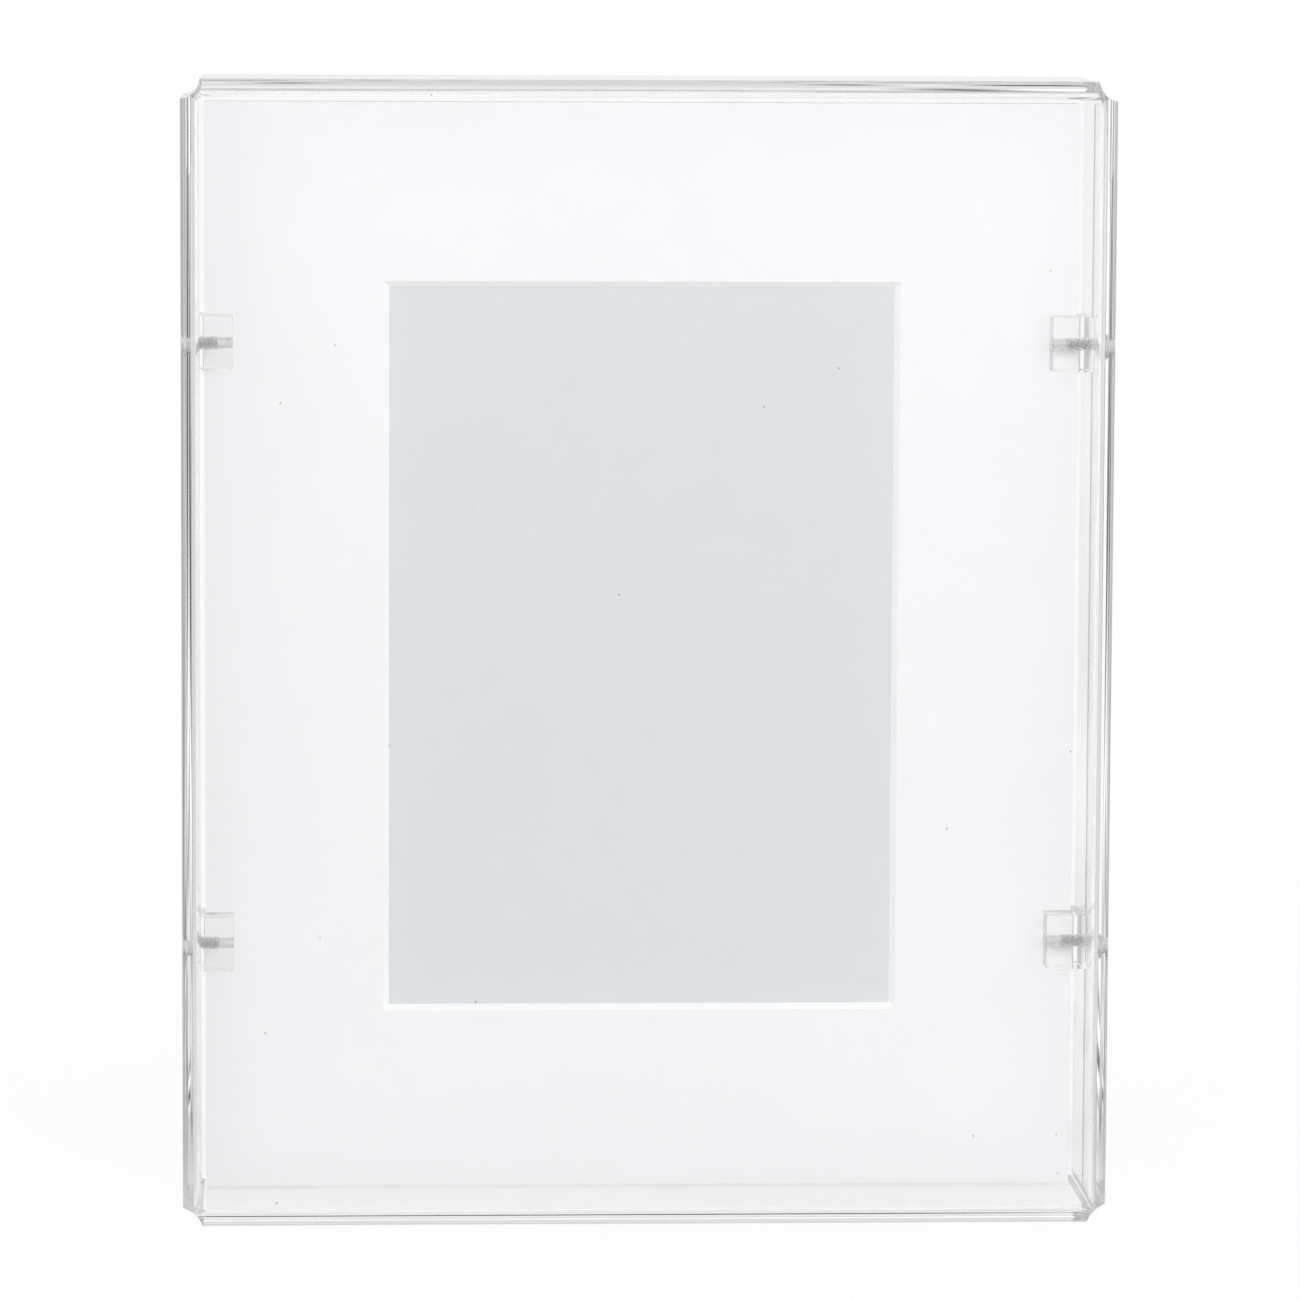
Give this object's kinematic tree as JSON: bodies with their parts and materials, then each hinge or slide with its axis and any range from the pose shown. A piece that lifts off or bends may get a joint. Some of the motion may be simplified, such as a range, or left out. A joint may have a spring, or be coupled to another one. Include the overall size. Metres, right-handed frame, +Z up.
{
  "type": "acrylic box picture frame",
  "caption": "Clear box frame bent from one acrylic sheet, with a bevelled mat held deep inside by clear clip blocks that are screwed through the side walls.",
  "frame": {"origin": "middle of the footprint, on the outer face of the bottom wall", "axes": "+Z up, -Y towards the viewer, +X to the viewer's right"},
  "size_m": [0.213, 0.048, 0.263],
  "materials": {
    "clear_acrylic": "clear, polished",
    "mat_paper": "white paper board, fine tooth",
    "picture_paper": "plain grey paper",
    "hardboard": "brown hardboard",
    "screw_steel": "machined steel",
    "plated_steel": "zinc plated"
  },
  "bodies": {
    "frame": {"acrylic_cover": "clear_acrylic", "mat_board": "mat_paper", "picture_sheet": "picture_paper", "backing_board": "hardboard", "clip_lower_left": "clear_acrylic", "clip_upper_left": "clear_acrylic", "clip_lower_right": "clear_acrylic", "clip_upper_right": "clear_acrylic", "hanger_portrait": "plated_steel", "hanger_landscape": "plated_steel", "hanger_brads": "plated_steel"},
    "screw_lower_left": {"screw_lower_left": "screw_steel"},
    "screw_upper_left": {"screw_upper_left": "screw_steel"},
    "screw_lower_right": {"screw_lower_right": "screw_steel"},
    "screw_upper_right": {"screw_upper_right": "screw_steel"}
  },
  "joints": [
    {"name": "unscrew_lower_left", "type": "slide", "parent": "frame", "child": "screw_lower_left", "axis": [-1, 0, 0], "range_m": [0, 0.0078]},
    {"name": "unscrew_upper_left", "type": "slide", "parent": "frame", "child": "screw_upper_left", "axis": [-1, 0, 0], "range_m": [0, 0.0078]},
    {"name": "unscrew_lower_right", "type": "slide", "parent": "frame", "child": "screw_lower_right", "axis": [1, 0, 0], "range_m": [0, 0.0078]},
    {"name": "unscrew_upper_right", "type": "slide", "parent": "frame", "child": "screw_upper_right", "axis": [1, 0, 0], "range_m": [0, 0.0078]}
  ]
}
